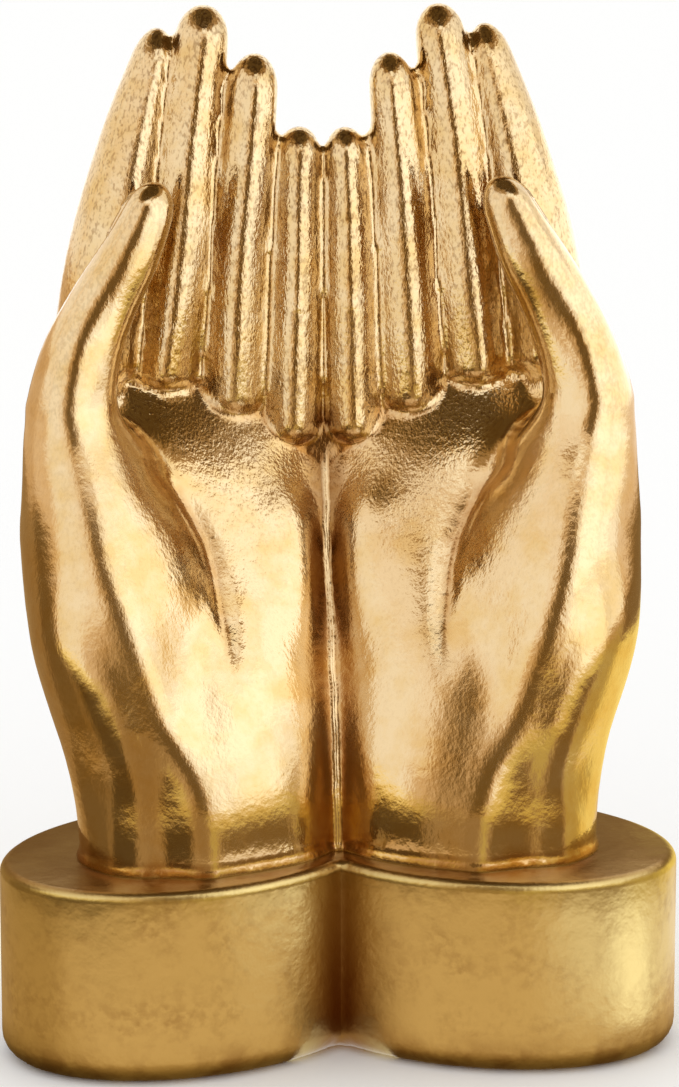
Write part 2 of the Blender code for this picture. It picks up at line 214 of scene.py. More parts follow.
@dataclass(frozen=True)
class Limb:
    """A finger, thumb or mound: ovals carried along a path, with rounded ends.

    With a roof, the front of each oval is two flanks that meet in a ridge: ridge
    rounds it, lean moves it sideways, and a higher edge squares the oval's sides.
    Rings are counted along the path and sides round it.
    """

    stations: tuple[Station, ...]
    roof: float = 0.0
    lean: float = 0.0
    ridge: float = 0.14
    edge: int = 6
    low_cap: float = 0.0
    high_cap: float = 0.0
    rings: int = 72
    sides: int = 64

    def skin(self, foot_height: float) -> Skin:
        """Loft the limb.

        Formula: the ring at a station is across * a * cos t + through * b * f, where
        f is sin t behind.  In front it is sin t too, or with a roof, for the ridge c
        and s = |cos t - lean| / (1 + |lean|), -sqrt(1 - cos t^edge) (1 - roof
        (hypot(s, c) - c) / (hypot(1, c) - c)).  Both half widths shrink as a quarter
        circle over each cap's length.

        Args:
            foot_height: height of the foot's top, in millimetres.

        Returns:
            The closed skin of the limb.
        """
        table = np.array([(*s.place(foot_height), s.width / 2, s.depth / 2, s.turn, s.tilt) for s in self.stations])
        along, rows = smooth_rows(table, self.rings)
        path, half_width, half_depth = rows[:, :3], rows[:, 3:4], rows[:, 4:5]
        turn, tilt = np.radians(rows[:, 5]), np.radians(rows[:, 6])
        tangent = unit(np.gradient(path, along, axis=0))
        across = np.stack([np.cos(turn) * np.cos(tilt), np.sin(turn) * np.cos(tilt), np.sin(tilt)], axis=1)
        if not any(s.tilt for s in self.stations):
            across -= tangent * np.sum(across * tangent, axis=1)[:, None]
        across = unit(across)
        through = unit(np.cross(tangent, across))
        low = np.clip(1 - along / (self.low_cap or half_width[0, 0]), 0, 1)
        high = np.clip(1 - (along[-1] - along) / (self.high_cap or half_width[-1, 0]), 0, 1)
        swell = np.sqrt(np.clip(1 - np.maximum(low, high) ** 2, 0, 1))[:, None]
        angle = np.linspace(0, 2 * math.pi, self.sides, endpoint=False)
        side, face = np.cos(angle), np.sin(angle)
        if self.roof:
            s, c = np.abs(side - self.lean) / (1 + abs(self.lean)), self.ridge
            fall = self.roof * (np.hypot(s, c) - c) / (math.hypot(1, c) - c)
            face = np.where(face < 0, -np.sqrt(np.clip(1 - side**self.edge, 0, 1)) * (1 - fall), face)
        rings = (
            path[:, None, :]
            + across[:, None, :] * (half_width * swell * side)[:, :, None]
            + through[:, None, :] * (half_depth * swell * face)[:, :, None]
        )
        return tube(rings[1:-1])


@dataclass(frozen=True)
class Foot:
    """The two-lobed foot: overlapping oval lobes that open in a V towards the front."""

    height: float = 37.4
    lobe_length: float = 75.4
    lobe_depth: float = 53.6
    lobe_turn: float = -25.2
    lobe_offset: float = 27.34
    lower_round: float = 4.6
    upper_round: float = 2.0
    notch_softness: float = 0.35
    sides: int = 420
    plan_samples: int = 7200
    bend_rings: int = 7
    wall_rings: int = 6

    def reach(self, angle: Array) -> Array:
        """Distance from the middle to the right lobe's edge along each direction.

        Formula: the larger root t of |E(t d - c)| = 1, where d is the direction, c
        the lobe's centre, and E turns by the lobe's turn and divides by its half
        length and half depth.

        Args:
            angle: directions in radians, anticlockwise from +X.

        Returns:
            One distance for each direction, in millimetres.
        """
        turn = math.radians(self.lobe_turn)
        a, b = self.lobe_length / 2, self.lobe_depth / 2
        dx, dy = np.cos(angle - turn) / a, np.sin(angle - turn) / b
        cx, cy = self.lobe_offset * math.cos(-turn) / a, self.lobe_offset * math.sin(-turn) / b
        square, cross, rest = dx**2 + dy**2, dx * cx + dy * cy, cx**2 + cy**2 - 1
        return (cross + np.sqrt(cross**2 - square * rest)) / square

    def outline(self) -> tuple[Array, Array]:
        """The foot's plan and its outward normals, evenly spaced along the edge.

        Formula: the soft maximum of the two lobes' reaches, k log(e^(r1/k) + e^(r2/k)),
        which leaves a small fillet in each notch.

        Returns:
            Two arrays (sides, 2): points and unit normals.
        """
        angle = np.linspace(0, 2 * math.pi, self.plan_samples, endpoint=False)
        k = self.notch_softness
        reach = k * np.logaddexp(self.reach(angle) / k, self.reach(math.pi - angle) / k)
        dense = reach[:, None] * np.stack([np.cos(angle), np.sin(angle)], axis=1)
        closed = np.concatenate([dense, dense[:1]])
        _, along = lengths(closed)
        wanted = np.linspace(0, along[-1], self.sides, endpoint=False)
        points = np.stack([np.interp(wanted, along, closed[:, i]) for i in (0, 1)], axis=1)
        run = np.roll(points, -1, axis=0) - np.roll(points, 1, axis=0)
        return points, unit(np.stack([run[:, 1], -run[:, 0]], axis=1))

    def skin(self) -> Skin:
        """Carry the edge profile round the plan.

        Formula: each ring is the plan moved inwards by the profile's inset at the
        profile's height; both roundings are quarter circles.

        Returns:
            The closed skin of the foot.
        """
        points, normals = self.outline()
        bend = np.linspace(0, math.pi / 2, self.bend_rings)
        low = np.stack([1 - np.sin(bend), 1 - np.cos(bend)], axis=1) * self.lower_round
        high = np.stack([1 - np.cos(bend), np.sin(bend) - 1], axis=1) * self.upper_round + (0, self.height)
        rise = np.linspace(self.lower_round, self.height - self.upper_round, self.wall_rings + 2)[1:-1]
        wall = np.stack([np.zeros(self.wall_rings), rise], axis=1)
        profile = np.concatenate([low, wall, high])
        plan = points[None] - normals[None] * profile[:, 0][:, None, None]
        level = np.broadcast_to(profile[:, 1][:, None, None], plan.shape[:2] + (1,))
        return tube(np.concatenate([plan, level], axis=2))


@dataclass(frozen=True)
class Fold:
    """A crease drawn on the right hand through points (x, y, height); below zero, a ridge.

    It fades over a share of its length at each end, or runs out in full where that
    share is zero.
    """

    points: tuple[Triple, ...]
    depth: float
    width: float
    fade_in: float = 0.25
    fade_out: float = 0.3


@dataclass(frozen=True)
class Nail:
    """A nail on the right hand: a slightly raised plate with a groove round it.

    The rim is a soft step, and the groove has a place, a width and a depth, the depth
    as a share of the lift.
    """

    centre: Triple
    facing: Triple
    along: Triple
    half_width: float
    half_length: float
    lift: float = 0.25
    squareness: float = 2.6
    rim: Pair = (0.9, 1.0)
    groove: Triple = (1.14, 0.14, 1.3)
    reach: float = 7.0
    facing_step: Pair = (0.1, 0.5)


def palm_station(
    y: float, height: float, width: float, depth: float, turn: float, tilt: float = 0.0, overlap: float = 0.8
) -> Station:
    """A palm section whose inner edge reaches just past the plane between the hands.

    Formula: the centre stands off that plane by the turned oval's half extent along
    x, less the overlap.

    Args:
        y: depth of the centre.
        height: height above the foot.
        width: the oval's longer size.
        depth: the oval's shorter size.
        turn: turn about the vertical, in degrees.
        tilt: rise of the outer edge, in degrees.
        overlap: how far the two palms sink into each other.

    Returns:
        The station.
    """
    across = width * math.cos(math.radians(turn)) * math.cos(math.radians(tilt))
    reach = 0.5 * math.hypot(across, depth * math.sin(math.radians(turn)))
    return Station(reach - overlap, y, height, width, depth, turn, tilt)


def limb(*rows: Station | tuple[float, ...], **shape: float) -> Limb:
    """A limb from stations, or from rows that hold a station's numbers in order."""
    return Limb(tuple(row if isinstance(row, Station) else Station(*row) for row in rows), **shape)


FINGER = {"roof": 0.5, "ridge": 0.35, "edge": 14, "low_cap": 3.6, "high_cap": 6.0}
THUMB_CREASE = (
    (35.5, 10.5, 72.5), (31.5, 12.5, 68.5), (28.0, 12.7, 65.0), (25.2, 11.0, 60.5),
    (23.0, 9.0, 56.0), (21.7, 6.2, 51.3), (20.9, 3.2, 47.0), (20.2, 0.2, 42.6),
    (19.9, -3.0, 38.0), (19.7, -6.0, 33.6), (19.5, -8.2, 29.0),
)


@dataclass(frozen=True)
class Hand:
    """The right hand: every limb, fold and nail, with heights above the foot.

    Roots run from the little finger to the index; webs start at the thumb.  The ledge
    is the stepped edge between palm and finger roots, as (x, height).
    """

    palm: Limb = limb(
        palm_station(-2.0, -6.0, 50.6, 34.6, -16),
        palm_station(-1.6, 4.0, 50.6, 34.6, -16),
        palm_station(3.0, 20.0, 50.6, 31.0, -14, 2),
        palm_station(12.0, 38.0, 52.0, 26.0, -12, 8),
        palm_station(21.5, 55.0, 52.0, 21.0, -9, 14),
        palm_station(26.0, 65.5, 50.0, 16.5, -6, 18),
        palm_station(33.4, 77.5, 47.0, 11.0, -4, 19),
        low_cap=3.0,
        high_cap=1.6,
        sides=96,
    )
    thumb: Limb = limb(
        (27.5, -5.5, -5.0, 28.0, 25.0, -16),
        (29.5, -3.5, 12.0, 29.0, 25.0, -18),
        (35.5, 0.5, 27.0, 35.0, 26.5, -25),
        (38.4, 4.5, 41.0, 40.0, 28.0, -28),
        (41.0, 9.0, 55.0, 36.5, 26.5, -32),
        (45.5, 11.5, 68.0, 28.2, 22.5, -35),
        (48.4, 13.0, 80.5, 18.2, 17.4, -20),
        (46.4, 14.0, 91.0, 15.2, 15.4, -10),
        (42.6, 15.0, 100.0, 13.4, 14.0),
        (36.6, 15.5, 111.0, 11.4, 12.6),
        (30.9, 16.0, 123.6, 8.4, 9.6),
        roof=0.42,
        lean=0.3,
        ridge=0.3,
        high_cap=5.6,
        sides=80,
        rings=110,
    )
    radial_ridge: Limb = limb(
        (40.8, -6.0, -5.0, 16.0, 16.0),
        (40.8, -5.0, 10.0, 16.5, 16.0),
        (42.8, -3.0, 20.0, 16.5, 16.0),
        (46.6, 0.5, 30.0, 15.5, 16.0),
        (50.3, 4.0, 42.0, 14.0, 16.0),
        (52.2, 8.0, 58.0, 13.0, 16.0),
        (52.2, 11.5, 72.0, 12.0, 14.0),
        roof=0.3,
    )
    heel: Limb = limb(
        (14.0, -1.0, 8.0, 20.0, 20.0),
        (13.0, 7.0, 24.0, 23.0, 20.0),
        (12.5, 14.5, 40.0, 23.0, 18.0),
        (12.5, 22.0, 56.0, 22.0, 15.0),
        (12.0, 26.0, 66.0, 20.0, 12.0),
    )
    little: Limb = limb(
        (5.9, 31.2, 69.5, 11.2, 13.5),
        (5.8, 31.8, 76.0, 11.2, 14.0),
        (5.4, 31.8, 88.0, 11.0, 14.0),
        (5.0, 31.0, 105.0, 10.2, 13.0),
        (4.3, 29.8, 130.8, 7.8, 9.5),
        **(FINGER | {"low_cap": 3.4, "high_cap": 5.4}),
    )
    ring: Limb = limb(
        (17.2, 31.6, 75.0, 12.8, 14.0),
        (17.0, 31.9, 82.0, 12.9, 14.8),
        (16.4, 31.9, 94.0, 12.8, 15.0),
        (15.0, 31.0, 115.0, 11.4, 14.0),
        (12.4, 29.6, 144.8, 8.2, 10.0),
        **FINGER,
    )
    middle: Limb = limb(
        (30.2, 31.0, 80.5, 13.4, 14.5),
        (29.6, 31.3, 88.0, 13.4, 15.2),
        (28.2, 31.6, 98.0, 13.4, 15.5),
        (25.8, 32.0, 121.0, 12.4, 14.5),
        (21.5, 33.4, 153.55, 9.2, 10.5),
        **FINGER,
    )
    index: Limb = limb(
        (42.8, 27.2, 82.5, 14.0, 14.5, -20),
        (42.9, 27.8, 89.0, 15.0, 15.4, -20),
        (42.2, 28.4, 98.0, 15.2, 16.0, -20),
        (37.6, 30.8, 122.0, 12.4, 14.5, -15),
        (30.2, 34.6, 149.2, 6.4, 9.0, -10),
        **FINGER,
    )
    roots: tuple[Limb, ...] = (
        limb((9.0, 25.2, 48.0, 9.0, 10.0), (6.0, 34.2, 72.0, 10.6, 8.6), (5.4, 33.6, 92.0, 10.0, 8.0)),
        limb((18.0, 25.6, 48.0, 10.0, 10.0), (17.2, 35.0, 75.0, 12.4, 8.8), (16.4, 34.0, 98.0, 11.8, 8.0)),
        limb((28.0, 24.4, 48.0, 10.0, 10.0), (30.0, 34.6, 78.0, 13.0, 8.8), (28.2, 34.0, 102.0, 12.2, 8.0)),
        limb(
            (38.5, 20.6, 48.0, 10.0, 10.0), (43.8, 27.6, 70.0, 12.6, 13.0, -20),
            (44.6, 28.6, 84.0, 12.8, 14.0, -20), (42.0, 30.0, 104.0, 12.8, 10.0, -20),
        ),
    )
    seam_fill: Limb = limb(
        (0.0, 24.5, 45.0, 12.0, 11.0),
        (0.0, 28.6, 57.0, 14.0, 11.0),
        (0.0, 31.4, 66.0, 14.0, 10.0),
        (0.0, 33.4, 76.0, 11.0, 9.0),
    )
    webs: tuple[Limb, ...] = (
        limb((44.5, 12.0, 54.0, 12.0, 14.0), (46.6, 17.5, 68.0, 11.0, 14.0), (46.4, 22.5, 80.0, 9.0, 12.0)),
        limb((11.0, 32.5, 70.0, 2.2, 8.0), (10.4, 32.0, 90.0, 2.0, 7.0), (8.6, 31.0, 124.0, 1.8, 5.0)),
        limb((23.7, 33.0, 76.0, 2.2, 8.0), (22.2, 32.0, 98.0, 2.0, 7.0), (17.6, 31.5, 137.0, 1.8, 5.0)),
        limb((36.6, 30.5, 78.0, 2.2, 8.0), (34.4, 30.5, 100.0, 2.0, 7.0), (27.6, 33.5, 142.0, 1.8, 5.0)),
    )
    folds: tuple[Fold, ...] = (
        Fold(THUMB_CREASE, 0.6, 4.6, 0.1, 0.5),
        Fold(THUMB_CREASE, 0.8, 1.8, 0.3, 0.4),
        Fold(
            (
                (49.3, 0.2, 71.0), (44.0, -7.0, 56.0), (38.0, -10.9, 44.0), (34.6, -12.2, 34.6),
                (31.2, -14.6, 25.0), (27.3, -17.7, 14.0), (25.3, -20.0, 4.5), (25.0, -20.3, -3.0),
            ),
            -1.0, 5.0, 0.4, 0.0,
        ),
        Fold(
            (
                (54.0, -3.0, 55.0), (52.0, -8.5, 44.5), (47.5, -11.5, 38.5), (43.0, -13.5, 33.0),
                (41.0, -14.2, 26.0), (40.2, -15.0, 16.0), (40.6, -16.8, 4.5), (40.6, -17.2, -3.0),
            ),
            -0.8, 4.6, 0.4, 0.0,
        ),
        Fold(
            (
                (51.5, -2.0, 58.0), (48.0, -7.5, 48.0), (43.5, -11.5, 39.0), (39.5, -13.2, 33.0),
                (36.5, -15.0, 26.0), (34.0, -17.0, 16.0), (33.0, -19.0, 4.5), (33.0, -19.3, -3.0),
            ),
            0.6, 4.2, 0.45, 0.0,
        ),
    )
    ledge: tuple[Pair, ...] = (
        (0.8, 69.0), (4.5, 70.5), (10.0, 74.0), (16.7, 77.0), (21.5, 78.0), (24.5, 82.0), (38.5, 84.0),
    )
    nails: tuple[Nail, ...] = (
        Nail((36.8, 18.2, 116.0), (0.72, 0.35, 0.60), (-0.42, 0.04, 0.90), 3.4, 5.6),
        Nail((4.4, 35.0, 125.5), (0.0, 1.0, 0.05), (-0.05, -0.05, 1.0), 2.9, 4.6),
        Nail((12.8, 35.0, 139.0), (0.0, 1.0, 0.05), (-0.09, -0.04, 1.0), 3.1, 5.0),
        Nail((22.2, 38.8, 146.5), (0.0, 1.0, 0.08), (-0.13, 0.04, 1.0), 3.5, 5.5),
        Nail((32.4, 39.0, 142.5), (0.17, 1.0, 0.10), (-0.24, 0.15, 1.0), 3.2, 5.2),
    )

    def limbs(self) -> list[Limb]:
        """Every limb of the hand."""
        base = [self.palm, self.thumb, self.radial_ridge, self.heel, self.seam_fill]
        return [*base, self.little, self.ring, self.middle, self.index, *self.roots, *self.webs]

    def skin(self, foot_height: float) -> Skin:
        """The hand's limbs as separate closed shells that overlap, in one surface."""
        return Skin.joined([limb.skin(foot_height) for limb in self.limbs()])


@dataclass
class Mesh:
    """A mesh's arrays while it is relaxed and carved, in millimetres."""

    points: Array
    corners: Array
    starts: Array
    edges: Array

    @staticmethod
    def read(mesh: bpy.types.Mesh) -> Mesh:
        """Copy a Blender mesh into arrays.

        Args:
            mesh: the mesh to read.

        Returns:
            Its points, face corners, face starts and edges.
        """
        points = np.empty(len(mesh.vertices) * 3, np.float32)
        mesh.vertices.foreach_get("co", points)
        corners = np.empty(len(mesh.loops), np.int32)
        mesh.loops.foreach_get("vertex_index", corners)
        starts = np.empty(len(mesh.polygons), np.int32)
        mesh.polygons.foreach_get("loop_start", starts)
        edges = np.empty(len(mesh.edges) * 2, np.int32)
        mesh.edges.foreach_get("vertices", edges)
        return Mesh(points.reshape(-1, 3).astype(float) / MM, corners, starts, edges.reshape(-1, 2))

    def on_right(self) -> Array:
        """The points, with those of the left hand moved onto the right one."""
        return np.abs(self.points[:, :1]) * (1, 0, 0) + self.points * (0, 1, 1)

    def neighbour_mean(self, values: Array) -> Array:
        """Mean of each value's neighbours along the edges.

        Args:
            values: array (points, n).

        Returns:
            Array of the same shape.
        """
        a, b = self.edges[:, 0], self.edges[:, 1]
        count = len(values)
        degree = np.bincount(a, minlength=count) + np.bincount(b, minlength=count)
        total = np.stack(
            [
                np.bincount(a, values[b, i], count) + np.bincount(b, values[a, i], count)
                for i in range(values.shape[1])
            ],
            axis=1,
        )
        return total / np.maximum(degree, 1)[:, None]

    def relax(self, weight: Array, rounds: int) -> None:
        """Move each point its share of the way to its neighbours' mean, round by round."""
        for _ in range(rounds):
            self.points += weight[:, None] * (self.neighbour_mean(self.points) - self.points)

    def normals(self) -> Array:
        """Unit normals: the sum of each point's faces' area vectors, made one long."""
        corner = self.points[self.corners]
        sizes = np.diff(np.append(self.starts, len(self.corners)))
        first = np.repeat(self.starts, sizes)
        after = np.arange(len(self.corners)) + 1
        last = np.repeat(self.starts + sizes, sizes)
        after = np.where(after == last, first, after)
        area = np.add.reduceat(np.cross(corner, corner[after]), self.starts, axis=0)
        spread = np.repeat(area, sizes, axis=0)
        total = np.stack(
            [np.bincount(self.corners, spread[:, i], len(self.points)) for i in range(3)], axis=1
        )
        return total / np.maximum(np.linalg.norm(total, axis=1), 1e-12)[:, None]

    def write(self, mesh: bpy.types.Mesh) -> None:
        """Put the points back into the Blender mesh they came from."""
        mesh.vertices.foreach_set("co", (self.points * MM).astype(np.float32).ravel())
        mesh.update()


def distance_to_line(points: Array, line: Array) -> tuple[Array, Array]:
    """Distance from each point to a broken line, and where along it that is.

    Args:
        points: array (n, 3).
        line: array (m, 3).

    Returns:
        The least distance of each point, and its share of the line's length.
    """
    best = np.full(len(points), np.inf)
    share = np.zeros(len(points))
    steps, before = lengths(line)
    for a, b, start, step in zip(line[:-1], line[1:], before[:-1], steps):
        t = np.clip((points - a) @ (b - a) / step**2, 0, 1)
        gap = np.linalg.norm(points - a - t[:, None] * (b - a), axis=1)
        nearer = gap < best
        best = np.where(nearer, gap, best)
        share = np.where(nearer, (start + t * step) / before[-1], share)
    return best, share


def ramp(value: Array, low: float, high: float) -> Array:
    """Smooth step from 0 at low to 1 at high: 3 t^2 - 2 t^3 of the clipped share t."""
    t = np.clip((value - low) / (high - low), 0.0, 1.0)
    return t * t * (3 - 2 * t)


@dataclass
class Casting:
    """The whole figurine: both hands grown out of the foot as one gilded skin.

    Lengths are in millimetres and heights are above the foot.  A pair of numbers is
    where a soft step starts and ends.  Rounds are how many times a skin is relaxed.
    The inset scales x, y and z, to keep the skin inside the solid's box.
    """

    foot: Foot = field(default_factory=Foot)
    hand: Hand = field(default_factory=Hand)
    cell: float = 0.85
    inset: Triple = (1.0, 0.9965, 0.9998)
    back_zone: Pair = (66.0, 92.0)
    ledge_step: Pair = (-6.0, -1.5)
    back_step: Pair = (30.0, 34.0)
    thumb_blend: Pair = (1.15, 1.5)
    finger_rounds: int = 2
    thumb_rounds: int = 6
    palm_rounds: int = 65
    last_share: float = 0.18
    hollow_rounds: tuple[int, int] = (6, 43)
    narrow_hollow: float = 0.6
    broad_hollow: float = 1.6
    sharp_edge: float = 0.35
    sunk: float = -3.0
    wrist_lip: float = 0.9
    wrist_lip_height: float = 2.2
    unevenness: float = 0.35
    finger_zone: Pair = (70.0, 84.0)
    grainy_zone: Pair = (45.0, 72.0)
    wrist_zone: Pair = (0.0, 40.0)
    thumb_zone: Pair = (45.0, 70.0)
    thumb_skin: Pair = (1.1, 1.5)
    hand_zone: Pair = (0.05, 0.3)
    valley_end: Pair = (60.0, 76.0)
    seam_half: Pair = (1.6, 2.6)
    seam_end: Pair = (64.0, 70.0)
    seam_shade_start: Pair = (30.0, 48.0)
    seam_shade_end: Pair = (74.0, 80.0)
    crease_angle: float = 48.0

    def raw_hands(self) -> bpy.types.Object:
        """Both hands' shells fused on a fine grid of cells, as one closed skin."""
        right = self.hand.skin(self.foot.height)
        thing = Skin.joined([right, right.mirrored()]).to_object("hands_form")
        fuse = thing.modifiers.new("fuse", "REMESH")
        fuse.mode = "VOXEL"
        fuse.voxel_size = self.cell * MM
        fuse.use_smooth_shade = True
        settle(thing)
        return thing

    def path_distance(self, limb: Limb, right: Array) -> Array:
        """Distance from each point to a limb's middle line, as a share of its half width.

        Args:
            limb: the limb.
            right: points moved onto the right hand.

        Returns:
            One value per point: about 1 on the limb's own skin.
        """
        line = np.array([s.place(self.foot.height) for s in limb.stations])
        wide = np.array([max(s.width, s.depth) / 2 for s in limb.stations])
        gap, share = distance_to_line(right, line)
        steps, knots = lengths(line)
        return gap / np.interp(share, knots / steps.sum(), wide)

    def relax(self, mesh: Mesh) -> None:
        """Soften the skin: little on the fingers, more on the thumbs, most below them.

        Formula: each round moves a point half its mask's way to its neighbours' mean.
        The palm's mask is one below the ledge in front and below the back's zone
        behind, and the thumb's mask is one near its middle line.

        Args:
            mesh: the fused hands, changed in place.
        """
        above = mesh.points[:, 2] - self.foot.height
        right = mesh.on_right()
        back = 1 - ramp(above, *self.back_zone)
        ledge = np.interp(right[:, 0], *zip(*self.hand.ledge))
        front = 1 - ramp(above - ledge, *self.ledge_step)
        palm = front + (back - front) * ramp(mesh.points[:, 1], *self.back_step)
        thumb = 1 - ramp(self.path_distance(self.hand.thumb, right), *self.thumb_blend)
        mesh.relax(np.full(len(above), 0.5), self.finger_rounds)
        mesh.relax(0.5 * np.maximum(palm, thumb), self.thumb_rounds)
        mesh.relax(0.5 * palm, self.palm_rounds)

    def carve(self, mesh: Mesh) -> None:
        """Push the skin in and out along its normals: creases, nails, lip, unevenness.

        Formula: every mark is a height field summed over the marks; a crease is minus
        its depth times a bell of the distance to its line, faded towards its ends, and
        the lip is a soft step that swells the wrist where it meets the foot.

        Args:
            mesh: the relaxed hands, changed in place.
        """
        normals = mesh.normals()
        right = mesh.on_right()
        facing = normals.copy()
        facing[:, 0] *= np.sign(mesh.points[:, 0] + 1e-9)
        raised = np.zeros(len(right))
        for fold in self.hand.folds:
            line = np.array(fold.points) + (0, 0, self.foot.height)
            gap, share = distance_to_line(right, line)
            fade = np.ones(len(right))
            if fold.fade_out:
                fade *= 1 - ramp(share, 1 - fold.fade_out, 1.0)
            if fold.fade_in:
                fade *= ramp(share, 0.0, fold.fade_in)
            raised -= fold.depth * fade * np.exp(-((gap / fold.width) ** 2))
        for nail in self.hand.nails:
            raised += self.nail_height(nail, right, facing)
        above = mesh.points[:, 2] - self.foot.height
        raised += self.wrist_lip * (1 - ramp(above, 0.0, self.wrist_lip_height)) * (above > self.sunk)
        raised += 0.5 * self.unevenness * self.waves(mesh.points)
        mesh.points += normals * raised[:, None]

    def waves(self, points: Array) -> Array:
        """Slow waves, as on a hand-finished model: sines whose lengths share no measure."""
        x, y, z = points.T
        bent = np.sin(x / 5.1 + 1.3 * np.sin(z / 9.7))
        return bent * np.sin(z / 7.3 + 0.8) + np.sin(x / 8.9 - z / 12.1 + y / 6.1)

    def nail_height(self, nail: Nail, right: Array, facing: Array) -> Array:
        """Height field of one nail.

        Formula: with r = (|u|^n + |v|^n)^(1/n) over the nail's half sizes, the plate is
        the lift times a step down at the rim, and the groove is minus a share of the
        lift times a bell round the groove's place.

        Args:
            nail: the nail.
            right: points moved onto the right hand.
            facing: normals moved onto the right hand.

        Returns:
            Height of each point in millimetres.
        """
        out = np.array(nail.facing) / np.linalg.norm(nail.facing)
        up = np.array(nail.along) - out * np.dot(nail.along, out)
        up /= np.linalg.norm(up)
        offset = right - np.array(nail.centre) - (0, 0, self.foot.height)
        u = offset @ np.cross(up, out) / nail.half_width
        v = offset @ up / nail.half_length
        n = nail.squareness
        r = (np.abs(u) ** n + np.abs(v) ** n) ** (1 / n)
        near = ramp(facing @ out, *nail.facing_step) * (np.abs(offset @ out) < nail.reach)
        place, width, depth = nail.groove
        plate, groove = 1 - ramp(r, *nail.rim), np.exp(-(((r - place) / width) ** 2))
        return near * (nail.lift * plate - depth * nail.lift * groove)

    def hollows(self, mesh: Mesh, normals: Array) -> list[Array]:
        """How far each point lies under its surroundings, near by and then wider.

        Formula: the distance from a point to its neighbourhood's mean along the
        normal, where the neighbourhood grows with the rounds of averaging.

        Args:
            mesh: the united casting.
            normals: its unit normals.

        Returns:
            Two arrays of millimetres, above zero in a hollow and below it on an edge.
        """
        soft = mesh.points.copy()
        found = []
        for rounds in self.hollow_rounds:
            for _ in range(rounds):
                soft += 0.6 * (mesh.neighbour_mean(soft) - soft)
            found.append(np.sum((soft - mesh.points) * normals, axis=1))
        return found

    def mark(self, mesh: Mesh, thing: bpy.types.Object) -> None:
        """Store per point what the gilding follows.

        grain is how coarse the skin is; recess is the narrow hollows, which take toning paint
        and painted shade, and valley the broad hollows and the groove between the palms,
        which take painted shade.  hand is one on the hands, and top one on the foot's flat
        top, which takes painted shade.  notch is painted shade in the foot's front notch,
        deeper towards the bottom, and in the groove beside the mould line.  seam is the
        strip that the line runs in, and crest the rubbed edges.

        Formula: products of soft steps in height, in distance from x = 0 or from the
        thumb's line, and in the normal; the painted shade of notch and valley has bells round x = 0.

        Args:
            mesh: the united casting.
            thing: its object.
        """
        normals = mesh.normals()
        narrow, broad = self.hollows(mesh, normals)
        right = mesh.on_right()
        beside, above = right[:, 0], mesh.points[:, 2] - self.foot.height
        front = mesh.points[:, 1] < self.back_step[0]
        thumb = 1 - ramp(self.path_distance(self.hand.thumb, right), *self.thumb_skin)
        thumb *= ramp(above, *self.thumb_zone)
        fingers, hand = ramp(above, *self.finger_zone), ramp(above, *self.hand_zone)
        grain = (0.45 + 0.55 * ramp(above, *self.grainy_zone)) * (1 - 0.75 * thumb)
        grain *= 0.35 + 0.65 * ramp(above, *self.wrist_zone)
        # recess darkens narrow hollows with toning paint and painted shade; valley is painted shade in the broad
        # hollows and in the groove between the palms.
        recess = np.clip(narrow / self.narrow_hollow, -1, 1) * hand * (1 - 0.65 * fingers)
        valley = broad / self.broad_hollow * (1 - 0.9 * fingers * (above > 0))
        valley += 1.2 * np.exp(-((beside / 5.0) ** 2)) * (1 - ramp(above, *self.valley_end)) * front
        # The foot's flat top, under the hands, is marked for painted shade.
        flat = ramp(normals[:, 2], 0.5, 0.95) * (1 - hand) * (above > self.sunk)
        # Painted shade in the foot's front notch, deeper towards the bottom, and in the groove beside the mould
        # line.
        groove_shade = np.exp(-((beside / 7.5) ** 2)) * (1.15 - 0.6 * mesh.points[:, 2] / self.foot.height)
        groove_shade *= (1 - hand) * (1 - flat) * (mesh.points[:, 1] < 0)
        strip = ramp(above, *self.seam_shade_start) * (1 - ramp(above, *self.seam_shade_end)) * front
        groove_shade += 0.75 * np.exp(-((beside / 3.5) ** 4)) * strip
        seam = (1 - ramp(beside, *self.seam_half)) * ramp(-normals[:, 1], 0.05, 0.4) * hand
        edges = np.clip(-narrow / self.sharp_edge, 0, 1) * hand
        store(thing, "grain", grain * hand + 0.12 * (1 - hand))
        store(thing, "recess", recess)
        store(thing, "valley", np.clip(valley, -1, 1) * hand)
        store(thing, "hand", hand)
        store(thing, "top", flat)
        store(thing, "notch", np.clip(groove_shade, 0, 1))
        store(thing, "seam", seam * (1 - ramp(above, *self.seam_end)))
        store(thing, "crest", edges * np.maximum(fingers, thumb))

    def make(self) -> bpy.types.Object:
        """Model the hands, model the foot, and unite them.

        Returns:
            The finished mesh object at the origin.
        """
        thing = self.raw_hands()
        mesh = Mesh.read(thing.data)
        self.relax(mesh)
        self.carve(mesh)
        mesh.relax(np.full(len(mesh.points), self.last_share), 1)
        mesh.write(thing.data)
        LOG.info("hands: %d points", len(mesh.points))
        foot = self.foot.skin().to_object("foot_form")
        unite = foot.modifiers.new("unite", "BOOLEAN")
        unite.operation = "UNION"
        unite.solver = "EXACT"
        unite.object = thing
        settle(foot)
        bpy.data.objects.remove(thing)
        foot.name = foot.data.name = "gilded_hands"
        mesh = Mesh.read(foot.data)
        mesh.points *= self.inset
        mesh.write(foot.data)
        self.mark(mesh, foot)
        foot.data.shade_smooth()
        foot.data.set_sharp_from_angle(angle=math.radians(self.crease_angle))
        return foot


def settle(thing: bpy.types.Object) -> None:
    """Replace an object's mesh with what its modifiers make of it, and drop them."""
    graph = bpy.context.evaluated_depsgraph_get()
    graph.update()
    done = bpy.data.meshes.new_from_object(thing.evaluated_get(graph), depsgraph=graph)
    thing.modifiers.clear()
    thing.data = done


def store(thing: bpy.types.Object, name: str, values: Array) -> None:
    """Keep one number per point of an object's mesh under a name."""
    layer = thing.data.attributes.new(name, "FLOAT", "POINT")
    layer.data.foreach_set("value", values.astype(np.float32))


